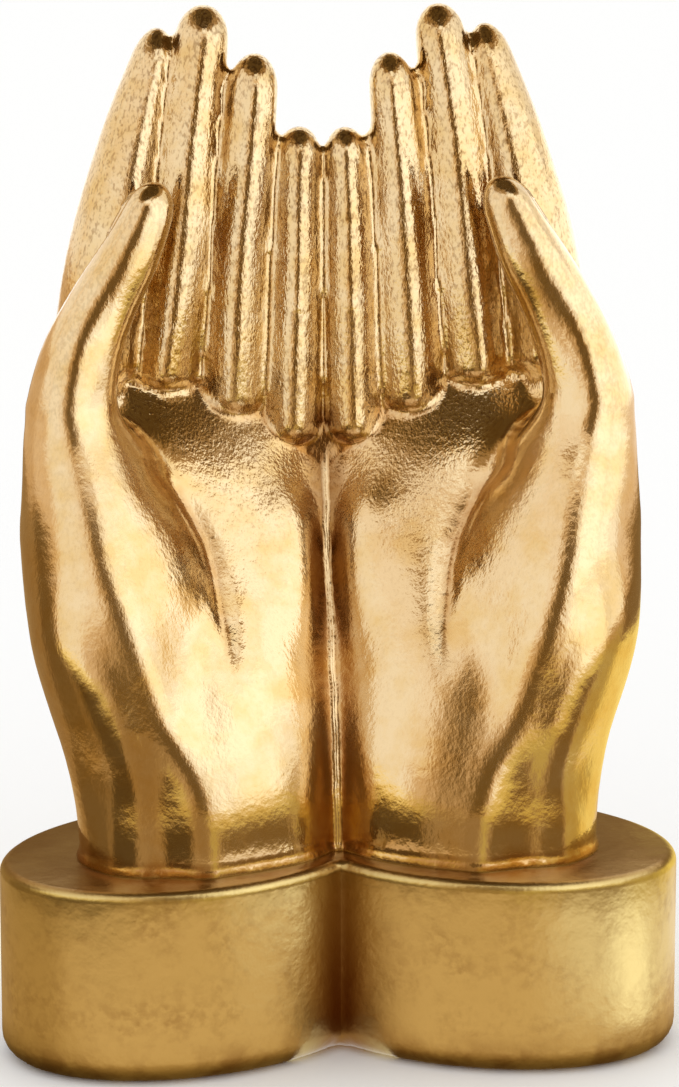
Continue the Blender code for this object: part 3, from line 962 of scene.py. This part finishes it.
def add(
    tree: bpy.types.NodeTree, kind: str, inputs: dict | None = None, **settings: object
) -> bpy.types.Node:
    """Add a node, set it, and link or fill its inputs.

    Args:
        tree: the node tree.
        kind: the node's type name, without the leading "ShaderNode".
        inputs: socket name or number to a value, or to the socket that feeds it.
        settings: the node's own properties.

    Returns:
        The node.
    """
    node = tree.nodes.new("ShaderNode" + kind)
    for name, value in settings.items():
        setattr(node, name, value)
    for name, value in (inputs or {}).items():
        if isinstance(value, bpy.types.NodeSocket):
            tree.links.new(value, node.inputs[name])
        else:
            node.inputs[name].default_value = value
    return node


class Nodes:
    """A new material's nodes, with short words for those used again and again."""

    def __init__(self, name: str) -> None:
        """Start a material of that name with an empty tree.

        Args:
            name: the material's name.
        """
        self.material = bpy.data.materials.new(name)
        self.material.use_nodes = True
        self.tree = self.material.node_tree
        self.tree.nodes.clear()

    def finish(self, shader: bpy.types.Node) -> bpy.types.Material:
        """Send the shader out, and hand over the material."""
        add(self.tree, "OutputMaterial", {"Surface": shader.outputs[0]})
        return self.material

    def attribute(self, name: str) -> Socket:
        """The number that the mesh keeps per point under a name."""
        return add(self.tree, "Attribute", attribute_name=name).outputs["Fac"]

    def noise(self, place: Socket, size_mm: float, detail: float, rough: float) -> Socket:
        """Noise with lumps about that many millimetres across: its scale is 1 / size."""
        inputs = {"Vector": place, "Scale": 1 / (size_mm * MM), "Detail": detail, "Roughness": rough}
        return add(self.tree, "TexNoise", inputs).outputs["Fac"]

    def span(self, value: Socket, low: float, high: float, a: float = 0.0, b: float = 1.0) -> Socket:
        """Map a value's range from low to high onto a to b, clamped."""
        inputs = {"Value": value, "From Min": low, "From Max": high, "To Min": a, "To Max": b}
        return add(self.tree, "MapRange", inputs).outputs["Result"]

    def maths(self, operation: str, a: Socket | float, b: Socket | float = 0.0) -> Socket:
        """One arithmetic step."""
        return add(self.tree, "Math", {0: a, 1: b}, operation=operation).outputs[0]

    def times(self, a: Socket | float, b: Socket | float) -> Socket:
        """The product of two values."""
        return self.maths("MULTIPLY", a, b)

    def blend(self, share: Socket, a: Socket | str, b: Socket | str) -> Socket:
        """Mix two colours by a share; a colour may be an sRGB hex word."""
        lit = [linear(colour) if isinstance(colour, str) else colour for colour in (a, b)]
        return add(self.tree, "Mix", {0: share, 6: lit[0], 7: lit[1]}, data_type="RGBA").outputs[2]

    def bump(self, height: Socket, strength: Socket | float, metres: float, **under: Socket) -> Socket:
        """Tilt the mesh's normal, or the one given as Normal, by a height field."""
        inputs = {"Height": height, "Strength": strength, "Distance": metres, **under}
        return add(self.tree, "Bump", inputs).outputs["Normal"]


@dataclass
class GoldLeaf:
    """Gold leaf laid by hand over cast resin, then toned with thinned brown paint.

    What that gives the eye: a warm metal with soft reflections, a fine grain where
    the casting is coarse, faint wrinkles of the leaf, browner hollows where the paint
    has gathered, edges where the leaf is rubbed through to the bole, and a browner,
    mottled foot.  Painted shade is added in the hollows, the foot's front notch, the
    groove beside the mould line, on the foot's top and at its bottom edge.
    """

    name: str = "toned_gold_leaf"
    leaf: str = "DAC298"
    deep_leaf: str = "D3B37A"
    # The next two browns: toning paint with painted shade in the hollows, then specks, mottling and painted shade
    # on the foot and beside the mould line.
    hollow: str = "A8702A"
    stain_and_shade: str = "7E5320"
    foot_leaf: str = "D2BD80"
    bole: str = "5A3A1C"
    roughness: float = 0.145
    uneven_polish: float = 0.04
    foot_rougher: float = 0.17
    toned_rougher: float = 0.08
    speck_mm: float = 0.55
    speck_height: float = 0.5
    wrinkle_mm: float = 1.7
    patch_mm: float = 9.0
    cloud_mm: float = 28.0
    mould_line: Pair = (0.0008, 0.0002)
    mould_wander: float = 0.0003
    # Heights in metres over which the foot's bottom edge gets painted shade.
    painted_shade_below: Pair = (0.009, 0.001)
    nodes: Nodes = field(init=False)
    at: dict[str, Socket] = field(init=False)

    def make(self) -> bpy.types.Material:
        """Build the material.

        Returns:
            The finished material.
        """
        nodes = self.nodes = Nodes(self.name)
        tree = nodes.tree
        place = add(tree, "TexCoord").outputs["Object"]
        stretch = (1.0, 1.0, self.speck_height)
        drawn = add(tree, "VectorMath", {0: place, 1: stretch}, operation="MULTIPLY").outputs[0]
        apart = add(tree, "SeparateXYZ", {0: place})
        stored = ("grain", "recess", "valley", "hand", "crest", "top", "notch", "seam")
        self.at = {name: nodes.attribute(name) for name in stored} | {
            "x": apart.outputs["X"],
            "height": apart.outputs["Z"],
            "speck": nodes.noise(drawn, self.speck_mm, 1.5, 0.6),
            "wrinkle": nodes.noise(place, self.wrinkle_mm, 3.0, 0.55),
            "patch": nodes.noise(place, self.patch_mm, 4.0, 0.6),
            "cloud": nodes.noise(place, self.cloud_mm, 3.0, 0.5),
        }
        self.at["tone"] = self.tone()
        self.at["line"] = self.line()
        inputs = {
            "Base Color": self.colour(),
            "Metallic": 1.0,
            "Roughness": self.polish(),
            "Normal": self.relief(),
        }
        return nodes.finish(add(tree, "BsdfPrincipled", inputs))

    def tone(self) -> Socket:
        """Share of brown in the hollows, broken up by the wrinkles: toning paint that has stayed there, and painted
        shade.
        """
        nodes, at = self.nodes, self.at
        broad = nodes.span(at["valley"], 0.1, 0.9, 0.0, 0.5)
        held_and_shaded = nodes.maths("ADD", nodes.span(at["recess"], 0.05, 0.75), broad)
        return nodes.times(held_and_shaded, nodes.span(at["wrinkle"], 0.3, 0.6, 0.55, 1.0))

    def line(self) -> Socket:
        """The raised line left by the mould between the palms, which wanders a little.

        Formula: a soft step down in |x + wander|, times the seam's mark.

        Returns:
            One on the line and zero off it.
        """
        nodes, at = self.nodes, self.at
        wander = nodes.span(at["patch"], 0.3, 0.7, -self.mould_wander, self.mould_wander)
        aside = nodes.maths("ABSOLUTE", nodes.maths("ADD", at["x"], wander))
        return nodes.times(nodes.span(aside, *self.mould_line), at["seam"])

    def colour(self) -> Socket:
        """Colour of the metal: leaf, then toning paint with painted shade in the hollows, specks, rubbed edges,
        mottling and painted shade on the foot and beside the mould line, mould line.

        Returns:
            The colour.
        """
        nodes, at = self.nodes, self.at
        span, times, blend = nodes.span, nodes.times, nodes.blend
        body = blend(span(at["patch"], 0.42, 0.66), self.leaf, self.deep_leaf)
        body = blend(at["hand"], self.foot_leaf, body)
        # Toning paint and painted shade in the hollows.
        body = blend(nodes.maths("MINIMUM", at["tone"], 0.85), body, self.hollow)
        speck = times(span(at["speck"], 0.52, 0.68), times(at["grain"], at["grain"]))
        body = blend(times(speck, 0.42), body, self.stain_and_shade)
        worn = times(span(at["speck"], 0.42, 0.62), at["crest"])
        body = blend(times(worn, 0.6), body, self.bole)
        # Painted shade at the foot's bottom edge and on its top, and mottling on the foot.
        low = times(span(at["height"], *self.painted_shade_below), span(at["patch"], 0.40, 0.62))
        flat = times(at["top"], span(at["patch"], 0.2, 0.6, 0.7, 1.0))
        mottle = times(span(at["patch"], 0.42, 0.68), span(at["wrinkle"], 0.38, 0.62))
        mottle = times(mottle, span(at["hand"], 0.0, 1.0, 0.45, 0.0))
        low = nodes.maths("MAXIMUM", nodes.maths("MAXIMUM", low, flat), mottle)
        # Painted shade in the notch and beside the mould line, then at the foot's bottom edge and top.
        body = blend(times(at["notch"], 0.95), body, self.stain_and_shade)
        body = blend(times(low, 0.75), body, self.stain_and_shade)
        return blend(times(at["line"], 0.8), body, self.leaf)

    def polish(self) -> Socket:
        """Roughness: uneven burnishing, duller where paint has stayed and on the foot.

        Returns:
            The roughness.
        """
        nodes, at = self.nodes, self.at
        least, most = self.roughness - self.uneven_polish, self.roughness + self.uneven_polish
        rough = nodes.span(at["cloud"], 0.35, 0.65, least, most)
        rough = nodes.maths("ADD", rough, nodes.times(at["tone"], self.toned_rougher))
        return nodes.maths("ADD", rough, nodes.span(at["hand"], 0.0, 1.0, self.foot_rougher, 0.0))

    def relief(self) -> Socket:
        """Bumps from fine to broad: mould line, grain, wrinkled leaf, slack dimples.

        Returns:
            The normal.
        """
        nodes, at = self.nodes, self.at
        wrinkled, dimpled = (nodes.span(at["hand"], 0.0, 1.0, *ends) for ends in ((0.05, 0.14), (0.26, 0.08)))
        normal = nodes.bump(at["line"], 0.45, 0.0007)
        normal = nodes.bump(at["speck"], nodes.times(at["grain"], 0.32), 0.00024, Normal=normal)
        normal = nodes.bump(at["wrinkle"], wrinkled, 0.0005, Normal=normal)
        return nodes.bump(at["patch"], dimpled, 0.0014, Normal=normal)


@dataclass(frozen=True)
class Panel:
    """A patch of the light tent: degrees round from the camera's side, millimetres up.

    Heights below zero are on the tent's floor, counted inwards from its wall.  The
    edge is half the width of the soft step at each side.
    """

    azimuth: Pair
    climb: Pair
    level: float
    edge: float = 5.0


def cloth(*rows: tuple[Pair | float, ...]) -> tuple[Panel, ...]:
    """Panels from rows that hold a panel's values in order; later ones cover earlier."""
    return tuple(Panel(*row) for row in rows)


@dataclass
class Studio:
    """White floor and surround, a light tent that only gloss sees, and the camera.

    The tent is a drum of white cloth with a floor and a roof, lit from outside, whose
    bright and dark panels are what the gold reflects.  Lengths are in metres, angles
    in degrees, and tent counts are rows of cloth or columns round it.
    """

    target: Triple = (0.0, 0.0, 0.100)
    distance: float = 1.100
    azimuth: float = -4.780
    elevation: float = 15.0
    sensor: float = 36.0
    pixels_per_mm: float = 5.4
    photo_width: int = 679
    photo_height: int = 1087
    axis_x: float = 335.71
    axis_y: float = 518.97
    floor_size: float = 12.0
    floor_colour: str = "FFFFFE"
    tent_radius: float = 0.12
    tent_height: float = 0.42
    tent_hub: float = 0.02
    roof_radii: Pair = (0.06, 0.001)
    floor_rows: int = 60
    wall_rows: int = 120
    columns: int = 241
    tent_level: float = 0.55
    contact_step: Pair = (-0.004, 0.018)
    contact_shade: float = 0.85
    white_levels: Pair = (0.15, 1.30)
    warm: Triple = (1.65, 1.0, 0.36)
    olive: Triple = (1.25, 1.0, 0.22)
    olive_share: float = 0.8
    olive_levels: Pair = (0.25, 0.6)
    olive_from: Pair = (10.0, 20.0)
    olive_to: Pair = (62.0, 84.0)
    panels: tuple[Panel, ...] = cloth(
        ((140, 220), (115, 270), 1.50, 8.0), ((140, 220), (14, 115), 0.20, 8.0),
        ((-140, -104), (14, 98), 0.25), ((-140, -104), (98, 142), 0.62), ((-140, -104), (142, 262), 1.20),
        ((-104, -76), (14, 104), 0.14), ((-104, -76), (104, 128), 0.80), ((-104, -76), (128, 262), 1.20),
        ((-76, -24), (14, 60), 0.08, 9.0), ((-76, -24), (60, 106), 0.70, 9.0),
        ((-76, -24), (106, 262), 1.15), ((-78, -42), (66, 185), 1.25), ((-24, 8), (14, 74), 0.26, 9.0),
        ((-24, 8), (74, 120), 0.42), ((-24, 8), (120, 215), 0.55), ((-24, 24), (215, 245), 0.85),
        ((8, 24), (66, 100), 0.85, 9.0), ((8, 24), (100, 215), 1.40), ((24, 66), (14, 57), 0.16, 9.0),
        ((24, 66), (57, 74), 0.80, 9.0), ((24, 66), (76, 118), 1.80, 9.0), ((24, 68), (118, 190), 1.85),
        ((24, 68), (190, 262), 1.70), ((66, 92), (14, 84), 0.50), ((66, 92), (84, 110), 1.50),
        ((66, 92), (110, 215), 1.80), ((66, 92), (215, 262), 1.55), ((90, 142), (14, 58), 1.00),
        ((90, 142), (58, 90), 0.18), ((90, 142), (90, 110), 0.90), ((90, 142), (110, 175), 1.80),
        ((90, 142), (175, 262), 1.25), ((-180, 180), (272, 322), 0.30, 9.0),
        ((-24, 28), (245, 322), 1.50, 9.0), ((-180, 180), (322, 2000), 0.08, 12.0),
        ((-14, 15), (74, 212), 0.13, 6.0), ((-180, 180), (-999, 14), 0.64, 3.0),
        ((-150, -60), (-999, 14), 0.38, 9.0), ((27, 122), (-30, 14), 1.15, 6.0),
        ((57, 75), (-34, 14), 1.85, 5.0),
    )

    def tent_levels(self, azimuth: Array, climb: Array) -> Array:
        """Brightness of the tent's cloth.

        Formula: from the plain level, each panel in turn pulls the brightness to its
        own by the product of four soft steps at its edges.

        Args:
            azimuth: degrees from the camera's side, -180 to 180.
            climb: millimetres up the wall, below zero on the floor.

        Returns:
            The levels.
        """
        level = np.full(azimuth.shape, self.tent_level)
        for panel in self.panels:
            (left, right), (low, high), e = panel.azimuth, panel.climb, panel.edge
            middle, half = (left + right) / 2, (right - left) / 2
            away = np.abs((azimuth - middle + 180) % 360 - 180)
            inside = 1 - ramp(away, half - e, half + e) if half < 180 else 1.0
            inside = inside * ramp(climb, low - e, low + e) * (1 - ramp(climb, high - e, high + e))
            level = level + inside * (panel.level - level)
        return level

    def tent_colours(self, levels: Array, climb: Array) -> Array:
        """Colour of the tent's glow, which is warm where it is dim.

        Formula: from warm to white as the level rises, then part of the way to olive
        low on the wall at middling levels, all times the level.

        Args:
            levels: array (rows, columns).
            climb: millimetres up the wall for each row.

        Returns:
            Array (rows, columns, 3) of linear red, green and blue.
        """
        low, high = self.white_levels
        share = np.clip((levels - low) / (high - low), 0, 1)[..., None]
        colour = np.array(self.warm) * (1 - share) + share
        zone = (1 - ramp(climb, *self.olive_to)) * ramp(climb, *self.olive_from)
        mossy = self.olive_share * ramp(levels, *self.olive_levels) * zone[:, None]
        colour = colour + mossy[..., None] * (np.array(self.olive) - colour)
        return colour * levels[..., None]

    def tent(self) -> None:
        """Hang the light tent round the casting; only glossy rays meet its glow.

        Formula: rings of points (r sin a, -r cos a, z) whose radius and height follow
        the floor outwards, the wall up and the roof inwards.  The floor's glow is dimmed
        near the foot's edge: a painted contact shadow, which the foot's lower wall reflects.
        """
        floor = np.linspace(self.tent_hub, self.tent_radius, self.floor_rows)
        wall = np.linspace(0.0, self.tent_height, self.wall_rows + 1)[1:]
        radius = np.concatenate([floor, np.full(len(wall), self.tent_radius), self.roof_radii])
        height = np.concatenate([np.zeros(len(floor)), wall, np.full(len(self.roof_radii), self.tent_height)])
        across = np.radians(np.linspace(-180, 180, self.columns))
        ring = np.stack([np.sin(across), -np.cos(across)], axis=-1)
        level = np.broadcast_to(height[:, None, None], (len(height), self.columns, 1))
        points = np.concatenate([radius[:, None, None] * ring, level], axis=2)
        rows, columns = points.shape[:2]
        start = (np.arange(rows - 1)[:, None] * columns + np.arange(columns - 1)).ravel()
        quads = np.stack([start, start + columns, start + columns + 1, start + 1], axis=-1)
        drum = Skin(points.reshape(-1, 3) / MM, quads, np.empty((0, 3), int)).to_object("light_tent")
        climb = (height - (self.tent_radius - radius) * np.where(height > 0, -1, 1)) / MM
        azimuth = np.broadcast_to(np.degrees(across), (rows, columns))
        levels = self.tent_levels(azimuth, np.broadcast_to(climb[:, None], (rows, columns)))
        foot = Foot()
        edge = np.maximum(foot.reach(across - math.pi / 2), foot.reach(1.5 * math.pi - across)) * MM
        shade = (1 - ramp(radius[:, None] - edge, *self.contact_step)) * (height[:, None] < MM)
        colours = self.tent_colours(levels * (1 - self.contact_shade * shade), climb)
        for index, name in enumerate(("glow_red", "glow_green", "glow_blue")):
            store(drum, name, colours[..., index].ravel())
        drum.data.materials.append(self.lit_cloth())
        drum.visible_camera = drum.visible_diffuse = drum.visible_shadow = False
        drum.visible_transmission = drum.visible_volume_scatter = False

    def lit_cloth(self) -> bpy.types.Material:
        """White cloth lit from behind: to the eye an even glow without any grain."""
        nodes = Nodes("tent_glow")
        nodes.material.cycles.emission_sampling = "NONE"
        parts = [nodes.attribute(name) for name in ("glow_red", "glow_green", "glow_blue")]
        colour = add(nodes.tree, "CombineColor", dict(enumerate(parts))).outputs[0]
        return nodes.finish(add(nodes.tree, "Emission", {"Color": colour, "Strength": 1.0}))

    def matt_paint(self) -> bpy.types.Material:
        """White emulsion paint rolled on board: to the eye flat, without a highlight."""
        nodes = Nodes("matt_white_paint")
        inputs = {"Base Color": linear(self.floor_colour), "Roughness": 0.9, "Specular IOR Level": 0.1}
        return nodes.finish(add(nodes.tree, "BsdfPrincipled", inputs))

    def floor(self) -> None:
        """One endless pale floor for the eye, which keeps the shadow."""
        half = self.floor_size / 2 / MM
        corners = np.array([(-half, -half, 0), (half, -half, 0), (half, half, 0), (-half, half, 0)])
        floor = Skin(corners, np.array([[0, 1, 2, 3]]), np.empty((0, 3), int)).to_object("studio_floor")
        floor.visible_glossy = False
        floor.data.materials.append(self.matt_paint())

    def surround(self) -> None:
        """An even white world at strength one, for every kind of ray."""
        world = bpy.data.worlds.new("white_surround")
        world.use_nodes = True
        world.node_tree.nodes["Background"].inputs["Color"].default_value = (1, 1, 1, 1)
        world.node_tree.nodes["Background"].inputs["Strength"].default_value = 1.0
        bpy.context.scene.world = world

    def camera(self) -> None:
        """The camera at the photograph's angle, distance and framing.

        Formula: the lens is sensor * pixels per mm * distance / frame height, and the
        shift moves the frame's middle to the pixel that the object's axis point takes.
        """
        lens = bpy.data.cameras.new("photo_camera")
        lens.sensor_width = self.sensor
        lens.lens = self.sensor * self.pixels_per_mm * self.distance / MM / self.photo_height
        lens.shift_x = (self.photo_width / 2 - self.axis_x) / self.photo_height
        lens.shift_y = (self.axis_y - self.photo_height / 2) / self.photo_height
        lens.clip_start, lens.clip_end = 0.01, 100
        azimuth, elevation = math.radians(self.azimuth), math.radians(self.elevation)
        level = math.cos(elevation)
        back = Vector((math.sin(azimuth) * level, -math.cos(azimuth) * level, math.sin(elevation)))
        camera = bpy.data.objects.new("photo_camera", lens)
        bpy.context.scene.collection.objects.link(camera)
        turned = back.to_track_quat("Z", "Y").to_matrix().to_4x4()
        camera.matrix_world = Matrix.Translation(Vector(self.target) + back * self.distance) @ turned
        bpy.context.scene.camera = camera

    def make(self) -> None:
        """Set the stage and the view."""
        self.surround()
        self.tent()
        self.floor()
        self.camera()
        bpy.context.scene.view_settings.view_transform = "Standard"


def main() -> None:
    """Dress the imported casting."""
    logging.basicConfig(level=logging.INFO, format="%(name)s: %(message)s")
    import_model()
    piece = Casting().make()
    piece.data.materials.clear()
    piece.data.materials.append(GoldLeaf().make())
    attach(piece, BODY)
    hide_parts(NODE)
    LOG.info("%s: %d faces", piece.name, len(piece.data.polygons))
    Studio().make()


if __name__ == "__main__":
    main()
